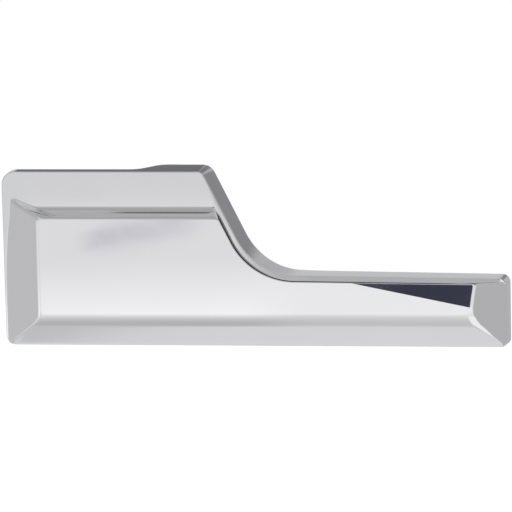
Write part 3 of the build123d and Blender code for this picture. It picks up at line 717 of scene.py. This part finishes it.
def grown(name, seed_mesh, make_tree, values):
    """Plain mesh object that a tree makes from a seed mesh and values."""
    seed = add_object(name + "_seed", seed_mesh)
    modifier = seed.modifiers.new("maker", "NODES")
    modifier.node_group = make_tree(values)
    for socket in modifier.node_group.interface.items_tree:
        if socket.name in values:
            modifier[socket.identifier] = values[socket.name]
    graph = bpy.context.evaluated_depsgraph_get()
    mesh = bpy.data.meshes.new_from_object(seed.evaluated_get(graph), depsgraph=graph)
    seed.modifiers.remove(modifier)
    bpy.data.objects.remove(seed)
    bm = bmesh.new()
    bm.from_mesh(mesh)
    bmesh.ops.remove_doubles(bm, verts=bm.verts, dist=FINE_WELD)
    bmesh.ops.recalc_face_normals(bm, faces=bm.faces)
    shade(bm, GROWN_SHARP_ANGLE)
    bm.to_mesh(mesh)
    bm.free()
    mesh.name = name
    print(name, len(mesh.polygons), "faces")
    return add_object(name, mesh)


# %% [markdown]
# The return spring is a steel wire wound round the pin, with one leg on the moving carrier and one in the
# fixed base. Geometry Nodes sweep a round section along its path, which is worked out from the coil's
# radius and pitch, as a spring winder is set.

# %% Return spring
COIL_RADIUS, WIRE_RADIUS, PITCH, TURNS = 4.7, 0.7, 2.4, 3.25
STEPS_PER_TURN, WIRE_SIDES = 40, 14
FREE_LEG, LEG_END_Y = 9.0, -3.5
PIVOT_X, PIVOT_Y = -16.0, -18.5
COIL_HALF = TURNS * PITCH / 2
LEG_SLOPE = PITCH / (2 * math.pi * COIL_RADIUS)


def spring_path():
    """Centre line of the wire: free leg, coil and fixed leg."""
    path = []
    for k in range(int(TURNS * STEPS_PER_TURN) + 1):
        turn = 2 * math.pi * k / STEPS_PER_TURN - math.pi / 2
        x, y = PIVOT_X + COIL_RADIUS * math.cos(turn), PIVOT_Y + COIL_RADIUS * math.sin(turn)
        path.append(Vector((x, y, k / STEPS_PER_TURN * PITCH - COIL_HALF)))
    free_end = path[0] - Vector((1, 0, LEG_SLOPE)) * FREE_LEG
    reach = LEG_END_Y - path[-1].y
    fixed_end = path[-1] + Vector((0, 1, LEG_SLOPE)) * reach
    return [free_end] + path + [fixed_end]


def wire_tree(values):
    """Round wire along the seed's path, with closed ends."""
    tree, given = new_tree("wound_wire", values)
    path = add_node(tree, "GeometryNodeMeshToCurve", {"Mesh": given["Geometry"]})
    section = add_node(
        tree, "GeometryNodeCurvePrimitiveCircle",
        {"Resolution": given["Sides"], "Radius": given["Wire Radius"]},
    )
    wire = add_node(
        tree, "GeometryNodeCurveToMesh", {"Curve": path, "Profile Curve": section, "Fill Caps": True}
    )
    return end_tree(tree, wire, SPRING_STEEL)


path = [p * MM for p in spring_path()]
path_mesh = mesh_from("spring_path", path, edges=[(k, k + 1) for k in range(len(path) - 1)])
WIRE = {"Wire Radius": WIRE_RADIUS * MM, "Sides": WIRE_SIDES}
spring = grown("return_spring_wire", path_mesh, wire_tree, WIRE)
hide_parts("return_spring")
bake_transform(spring)

# %% [markdown]
# Five thread-forming screws hold the carrier in the cover, and four steel sleeves keep the door screws
# from crushing the plastic. Both are one shape repeated, so each is a tree that makes the shape once and
# puts it on points. The points are read from the frame: one for each separate solid of the CAD node.


# %% Where the repeated pieces sit
def solids_of(node):
    """Lowest and highest corner of each solid of a CAD node, in millimetres."""
    bm = bmesh.new()
    bm.from_mesh(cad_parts[node].data)
    bmesh.ops.remove_doubles(bm, verts=bm.verts, dist=WELD)
    left, boxes = set(bm.verts), []
    while left:
        todo, island = [left.pop()], []
        while todo:
            vert = todo.pop()
            island.append(vert.co / MM)
            near = {e.other_vert(vert) for e in vert.link_edges} & left
            left -= near
            todo += near
        boxes.append([Vector([pick(axis) for axis in zip(*island)]) for pick in (min, max)])
    bm.free()
    return sorted(boxes, key=lambda b: (round(b[0].x, 2), round(b[0].z, 2)))


def back_points(name, boxes):
    """Mesh with a point in the middle of each solid's back end."""
    return mesh_from(name, [Vector(((a.x + b.x) / 2, b.y, (a.z + b.z) / 2)) * MM for a, b in boxes])


def placed(tree, geometry, height):
    """Moves geometry along its own axis."""
    offset = add_node(tree, "ShaderNodeCombineXYZ", {"Z": height})
    return add_node(tree, "GeometryNodeTransform", {"Geometry": geometry, "Translation": offset})


def on_points(tree, points, shape):
    """The shape on each point, its axis turned from Z to Y."""
    return add_node(
        tree, "GeometryNodeInstanceOnPoints",
        {"Points": points, "Instance": shape, "Rotation": (-math.pi / 2, 0.0, 0.0)},
    )


SCREW_BOXES = solids_of("carrier_screws")
LIMITER_BOXES = solids_of("compression_limiters")
print("Screws:", len(SCREW_BOXES), "limiters:", len(LIMITER_BOXES))

# %% [markdown]
# A screw is three cones joined by a Mesh Boolean: the head, its chamfer and the shank. A star curve with
# rounded points is filled and raised into a prism, and a second Boolean cuts it from the head as the
# six-lobed drive.

# %% Carrier screws
SCREW_SIDES, LOBES, LOBE_STEPS = 40, 6, 3
LOBE_SHARE, LOBE_ROUND = 0.72, 0.25
LOBE_WELD = 1e-6


def screw_blank(tree, size):
    """Chamfered pan head on a plain shank, the head's top at zero."""
    head, shank, chamfer = size["Head Radius"], size["Shank Radius"], size["Chamfer"]
    tall, length = size["Head Height"], size["Length"]
    rim = float_math(tree, "SUBTRACT", head, chamfer)
    blank = add_node(tree, "GeometryNodeMeshBoolean", operation="UNION")
    for lower, upper, height, below in (
        (head, head, float_math(tree, "SUBTRACT", tall, chamfer), tall),
        (head, rim, chamfer, chamfer),
        (shank, shank, float_math(tree, "SUBTRACT", length, chamfer), length),
    ):
        cone = add_node(
            tree, "GeometryNodeMeshCone",
            {"Vertices": SCREW_SIDES, "Radius Bottom": lower, "Radius Top": upper, "Depth": height},
        )
        feed(tree, blank, {"Mesh 2": placed(tree, cone, float_math(tree, "MULTIPLY", below, -1.0))})
    return blank


def drive_cutter(tree, size):
    """Six-lobed prism, sunk to the drive's depth and open to above the head."""
    lobe = float_math(tree, "MULTIPLY", size["Drive Radius"], LOBE_SHARE)
    star = add_node(
        tree, "GeometryNodeCurveStar",
        {"Points": LOBES, "Inner Radius": lobe, "Outer Radius": size["Drive Radius"]},
    )
    lobes = add_node(
        tree, "GeometryNodeFilletCurve",
        {"Curve": star, "Count": LOBE_STEPS, "Radius": float_math(tree, "MULTIPLY", lobe, LOBE_ROUND)},
        mode="POLY",
    )
    flat = add_node(tree, "GeometryNodeFillCurve", {"Curve": lobes}, mode="NGONS")
    tall = float_math(tree, "MULTIPLY", size["Drive Depth"], 2.0)
    prism = add_node(tree, "GeometryNodeExtrudeMesh", {"Mesh": flat, "Offset Scale": tall})
    base = add_node(tree, "GeometryNodeFlipFaces", {"Mesh": flat})
    closed = add_node(tree, "GeometryNodeJoinGeometry", {"Geometry": prism})
    feed(tree, closed, {"Geometry": base})
    welded = add_node(tree, "GeometryNodeMergeByDistance", {"Geometry": closed, "Distance": LOBE_WELD})
    return placed(tree, welded, float_math(tree, "MULTIPLY", size["Drive Depth"], -1.0))


def screw_tree(values):
    """Screw with a six-lobed drive on every point of the seed."""
    tree, size = new_tree("carrier_screw", values)
    cut = add_node(
        tree, "GeometryNodeMeshBoolean",
        {"Mesh 1": screw_blank(tree, size), "Mesh 2": drive_cutter(tree, size)}, operation="DIFFERENCE",
    )
    return end_tree(tree, on_points(tree, size["Geometry"], cut), ZINC)


low, high = SCREW_BOXES[0]
SCREW = {
    "Head Radius": (high.x - low.x) / 2 * MM,
    "Head Height": 1.8 * MM,
    "Chamfer": 0.5 * MM,
    "Shank Radius": 1.4 * MM,
    "Length": (high.y - low.y) * MM,
    "Drive Radius": 1.3 * MM,
    "Drive Depth": 1.1 * MM,
}
screw_points = back_points("screw_points", SCREW_BOXES)
screws = grown("carrier_screws_driven", screw_points, screw_tree, SCREW)
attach(screws, "lever")
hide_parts("carrier_screws")

# %% [markdown]
# A limiter is a short steel tube. Its wall is a rectangle with rounded corners, and Curve to Mesh carries
# that section round a circle.

# %% Compression limiters
SLEEVE_SIDES, SLEEVE_ROUND_STEPS = 48, 3
LIMITER_BORE = 2.75


def sleeve_tree(values):
    """Sleeve with rounded ends on every point of the seed, its back end at the point."""
    tree, size = new_tree("compression_limiter", values)
    section = add_node(
        tree, "GeometryNodeCurvePrimitiveQuadrilateral", {"Width": size["Wall"], "Height": size["Length"]}
    )
    soft = add_node(
        tree, "GeometryNodeFilletCurve",
        {"Curve": section, "Count": SLEEVE_ROUND_STEPS, "Radius": size["Edge Round"]},
        mode="POLY",
    )
    half_wall = float_math(tree, "MULTIPLY", size["Wall"], 0.5)
    middle = float_math(tree, "ADD", size["Bore Radius"], half_wall)
    loop = add_node(
        tree, "GeometryNodeCurvePrimitiveCircle", {"Resolution": SLEEVE_SIDES, "Radius": middle}
    )
    tube = add_node(tree, "GeometryNodeCurveToMesh", {"Curve": loop, "Profile Curve": soft})
    sleeve = placed(tree, tube, float_math(tree, "MULTIPLY", size["Length"], -0.5))
    return end_tree(tree, on_points(tree, size["Geometry"], sleeve), STEEL)


low, high = LIMITER_BOXES[0]
LIMITER = {
    "Bore Radius": LIMITER_BORE * MM,
    "Wall": ((high.x - low.x) / 2 - LIMITER_BORE) * MM,
    "Length": (high.y - low.y) * MM,
    "Edge Round": 0.25 * MM,
}
limiter_points = back_points("limiter_points", LIMITER_BOXES)
limiters = grown("compression_limiters_rolled", limiter_points, sleeve_tree, LIMITER)
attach(limiters, "base")
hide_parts("compression_limiters")

# %% [markdown]
# Chrome has no colour of its own: it shows the room. A product studio hangs pale and grey cards round
# such a part and leaves one dark gap in front, so that every bevel mirrors a different tone. Here the
# cards are painted on the inside of a tent that only mirror rays see. A place on it is given by the
# direction from its middle, so x, y and z run from -1 to 1. First come the tones from bottom to top, and
# then the single cards.

# %% Tones and cards of the tent
HUB_TONES = [
    (-1.0, 0.74), (-0.73, 0.74), (-0.704, 0.72), (-0.688, 0.59), (-0.65, 0.51), (-0.603, 0.495),
    (-0.552, 0.51), (-0.498, 0.54), (-0.444, 0.59), (-0.394, 0.645), (-0.34, 0.72), (-0.285, 0.82),
    (-0.23, 0.93), (-0.18, 1.0), (-0.16, 1.02), (-0.14, 0.93), (-0.11, 0.8), (-0.07, 0.8),
    (-0.055, 0.72), (0.0, 0.69), (0.05, 0.5), (0.3, 0.5), (0.6, 0.39), (0.85, 0.41), (0.97, 0.5),
    (1.0, 0.53),
]
BAR_TONES = [
    (-1.0, 0.75), (-0.74, 0.75), (-0.696, 0.7), (-0.65, 0.62), (-0.603, 0.577), (-0.5, 0.6),
    (-0.387, 0.66), (-0.27, 0.75), (-0.21, 0.85), (-0.175, 0.93), (-0.12, 0.91), (-0.06, 0.78),
    (-0.03, 0.6), (0.0, 0.47), (0.3, 0.6), (0.6, 0.62), (1.0, 0.58),
]
BACK_TONES = [
    (-1.0, 0.66), (-0.2, 0.62), (0.04, 0.56), (0.185, 0.54), (0.215, 0.16), (0.5, 0.18), (0.75, 0.36),
    (1.0, 0.42),
]
NECK_TONES = [
    (-1.0, 0.6), (-0.2, 0.46), (0.05, 0.46), (0.15, 0.57), (0.18, 0.56), (0.22, 0.46), (0.25, 0.45),
    (0.275, 0.2), (0.34, 0.2), (0.5, 0.5), (1.0, 0.58),
]
SIDE_TONES = [(-1.0, 0.66), (-0.3, 0.56), (0.0, 0.55), (0.3, 0.45), (1.0, 0.42)]
COOL = 1.01  # blue share of every tone

# Where one set of tones takes over from another: no share at the first place, full at the second.
HUB_TO_BAR, BAR_TO_RIGHT, BACK_TO_NECK = (-0.17, -0.1), (0.2, 0.34), (-0.17, -0.13)
FRONT_TO_BACK, ALL_TO_SIDE = (-0.1, 0.25), (-0.56, -0.7)
RIGHT_TONE = (0.48, 0.48, 0.482)

# A card is a colour and its spans: an axis, two ends and the width of the soft edge outside them. Two axes
# are slanted: lean is z - LEAN x, and turn is x + TURN z.
LEAN, TURN = 0.17, 0.4
# A small slanted card, darker than the tones round it. Its painted reflection lies like a smear on the
# upper left of the panel; it is no dirt on the plating.
SLANTED_REFLECTION_CARD = (0.62, 0.61, 0.66), [("lean", -0.05, -0.04, 0.007), ("x", -0.27, -0.215, 0.03)]
SLANTED_REFLECTION_STRENGTH = 0.95
STRIP = (0.7, 0.71, 0.705), [("x", -0.4, -0.339, 0.008)]
GLINT = (0.95, 0.95, 0.955), [("x", 0.12, 0.32, 0.08), ("z", -0.52, -0.28, 0.07)]
COVE_LINE = (0.13, 0.13, 0.135), [
    ("x", -0.25, -0.12, 0.02), ("y", -0.2, -0.1, 0.03), ("z", 0.9, 1.1, 0.02),
]
DARK_TONE = (0.018, 0.019, 0.028)
OVER_BAR = [("x", -0.17, 0.2, 0.012), ("z", 0.08, 0.32, 0.02)]
OVER_SLOPE = [("x", 0.06, 0.3, 0.02), ("z", 0.04, 0.25, 0.02)]
NAVY = (0.042, 0.044, 0.068), [
    ("x", -0.055, 1.0, 0.008), ("x", -1.0, 0.05, 0.003), ("z", -0.08, -0.03, 0.01),
]
SLOPE_CARD = (0.25, 0.25, 0.258), [("turn", 0.258, 0.34, 0.06), ("z", 0.06, 0.5, 0.02)]

# %% [markdown]
# The tent's material lays the cards over each other like sheets of paper: each Mix puts one more on top
# of the tones. Smooth steps of Map Range nodes give every card its soft edges.


# %% Tent of reflections
def ramp(tree, value, tones):
    """Colour ramp over -1 to 1 through pairs of place and tone."""
    made = add_node(tree, "ShaderNodeValToRGB", {"Fac": rescale(tree, value, before=(-1.0, 1.0))})
    stops = made.color_ramp.elements
    while len(stops) < len(tones):
        stops.new(0.5)
    for k, (place, tone) in enumerate(tones):
        stops[k].position = (place + 1) / 2
        stops[k].color = (tone, tone, tone * COOL, 1)
    return made.outputs["Color"]


def step_mask(tree, value, start, end):
    """0 before start and 1 after end, smooth between."""
    return rescale(tree, value, before=(start, end), kind="SMOOTHSTEP")


def span_mask(tree, axes, spans, strength=1.0):
    """The strength inside of all the spans of a card, and 0 outside."""
    mask = strength
    for axis, low, high, soft in spans:
        for start, end in ((low - soft, low), (high + soft, high)):
            mask = float_math(tree, "MULTIPLY", mask, step_mask(tree, axes[axis], start, end))
    return mask


def tent_axes(tree):
    """The direction from the tent's middle, as sockets by axis."""
    place = add_node(tree, "ShaderNodeTexCoord").outputs["Object"]
    way = add_node(tree, "ShaderNodeVectorMath", {0: place}, operation="NORMALIZE")
    parts = add_node(tree, "ShaderNodeSeparateXYZ", {"Vector": way}).outputs
    x, z = parts["X"], parts["Z"]
    lean = float_math(tree, "SUBTRACT", z, float_math(tree, "MULTIPLY", x, LEAN))
    turn = float_math(tree, "ADD", x, float_math(tree, "MULTIPLY", z, TURN))
    return {"x": x, "y": parts["Y"], "z": z, "lean": lean, "turn": turn}


def tent_material():
    """Glowing cards and tones, as seen from the middle of the tent."""
    material = bpy.data.materials.new("tent_cards")
    material.use_nodes = True
    tree = material.node_tree
    tree.nodes.clear()
    axes = tent_axes(tree)
    x, y, z = axes["x"], axes["y"], axes["z"]

    def blend(axis, places, first, second):
        return mix_colour(tree, step_mask(tree, axis, *places), first, second)

    def add_card(under, card, strength=1.0):
        tone, spans = card
        return mix_colour(tree, span_mask(tree, axes, spans, strength), under, tone)

    front = blend(x, HUB_TO_BAR, ramp(tree, z, HUB_TONES), ramp(tree, z, BAR_TONES))
    front = add_card(front, SLANTED_REFLECTION_CARD, SLANTED_REFLECTION_STRENGTH)
    front = add_card(front, STRIP)
    front = blend(x, BAR_TO_RIGHT, front, RIGHT_TONE)
    front = add_card(front, GLINT)
    front = add_card(front, COVE_LINE)
    dark = float_math(tree, "MAXIMUM", span_mask(tree, axes, OVER_BAR), span_mask(tree, axes, OVER_SLOPE))
    front = mix_colour(tree, dark, front, DARK_TONE)
    front = add_card(front, NAVY)
    back = blend(x, BACK_TO_NECK, ramp(tree, z, BACK_TONES), ramp(tree, z, NECK_TONES))
    back = add_card(back, SLOPE_CARD)
    tone = blend(y, FRONT_TO_BACK, front, back)
    tone = blend(x, ALL_TO_SIDE, tone, ramp(tree, z, SIDE_TONES))
    light = add_node(tree, "ShaderNodeEmission", {"Color": tone, "Strength": 1.0})
    add_node(tree, "ShaderNodeOutputMaterial", {"Surface": light})
    return material


CENTRE = Vector((50.0, -20.0, 0.0)) * MM
TENT_RADIUS = 500.0 * MM
ball = bmesh.new()
bmesh.ops.create_uvsphere(ball, u_segments=64, v_segments=32, radius=TENT_RADIUS)
tent_mesh = bpy.data.meshes.new("reflection_tent")
ball.to_mesh(tent_mesh)
ball.free()
tent = add_object("reflection_tent", tent_mesh)
tent.location = CENTRE
tent.data.materials.append(tent_material())
for ray in ("camera", "diffuse", "shadow", "transmission", "volume_scatter"):
    setattr(tent, "visible_" + ray, False)
print("Tent:", len(tent_mesh.polygons), "faces")

# %% [markdown]
# The white background and the soft light on the plastic come from the world, a pale floor and two lamps.
# World and floor look brighter than they shine on the part: the Light Path node tells such rays apart.

# %% World, floor and lamps
SOFT_LIGHT, FLOOR_GLOW = 0.55, 0.45
FLOOR_HALF, FLOOR_HEIGHT = 4.0, CENTRE.z - 1.1 * TENT_RADIUS


def ray_mask(tree, *kinds):
    """1 for rays of these kinds."""
    ray = add_node(tree, "ShaderNodeLightPath").outputs
    mask = ray[f"Is {kinds[0]} Ray"]
    for kind in kinds[1:]:
        mask = float_math(tree, "MAXIMUM", mask, ray[f"Is {kind} Ray"])
    return mask


def lamp(name, place, size, power):
    """Square soft lamp that faces the part."""
    data = bpy.data.lights.new(name, "AREA")
    data.size, data.energy = size, power
    made = add_object(name, data)
    made.location = CENTRE + Vector(place)
    made.rotation_euler = (-Vector(place)).to_track_quat("-Z", "Y").to_euler()
    made.visible_glossy = False


world = bpy.data.worlds.new("studio")
bpy.context.scene.world = world
world.use_nodes = True
tree = world.node_tree
seen = ray_mask(tree, "Camera", "Glossy", "Transmission")
sky = {"Color": (1.0, 1.0, 1.0, 1.0), "Strength": rescale(tree, seen, after=(SOFT_LIGHT, 1.0))}
feed(tree, tree.nodes["Background"], sky)

corners = [(x * FLOOR_HALF, y * FLOOR_HALF, FLOOR_HEIGHT) for x, y in ((-1, -1), (1, -1), (1, 1), (-1, 1))]
floor = add_object("floor", mesh_from("floor", corners, [(0, 1, 2, 3)]))
paper = bpy.data.materials.new("white_paper")
paper.use_nodes = True
tree = paper.node_tree
matt = tree.nodes["Principled BSDF"]
matt.inputs["Base Color"].default_value = (0.9, 0.9, 0.9, 1)
glow = float_math(tree, "MULTIPLY", ray_mask(tree, "Camera", "Glossy"), FLOOR_GLOW)
white = add_node(tree, "ShaderNodeEmission", {"Strength": glow})
both = add_node(tree, "ShaderNodeAddShader", {0: matt, 1: white})
feed(tree, tree.nodes["Material Output"], {"Surface": both})
floor.data.materials.append(paper)

lamp("key", (-0.7, -1.0, 1.2), 0.8, 14.0)
lamp("rear", (0.8, 1.0, 0.9), 0.8, 8.0)
print("Stage: tent, world, floor, two lamps")

# %% [markdown]
# The camera stands where the photographer stood: a little to the right of the lever and a little above
# it, far back with a long lens, so that parallel edges stay almost parallel.

# %% Camera
AZIMUTH, ELEVATION, ROLL = math.radians(9.0), math.radians(7.0), math.radians(0.95)
DISTANCE, LENS, SENSOR_WIDTH, FAR_END = 1.9, 408.0, 36.0, 20.0
AIM = Vector((50.1, -28.0, 4.45)) * MM
camera_data = bpy.data.cameras.new("camera")
camera_data.lens, camera_data.sensor_width = LENS, SENSOR_WIDTH
camera_data.clip_end = FAR_END
camera = add_object("camera", camera_data)
level = math.cos(ELEVATION)
back = Vector((math.sin(AZIMUTH) * level, -math.cos(AZIMUTH) * level, math.sin(ELEVATION)))
camera.location = AIM + back * DISTANCE
turned = (-back).to_track_quat("-Z", "Y").to_matrix() @ Matrix.Rotation(-ROLL, 3, "Z")
camera.rotation_euler = turned.to_euler()
bpy.context.scene.camera = camera
bpy.context.scene.view_settings.view_transform = "Standard"
print("Camera:", DISTANCE, "m away, lens", LENS, "mm")
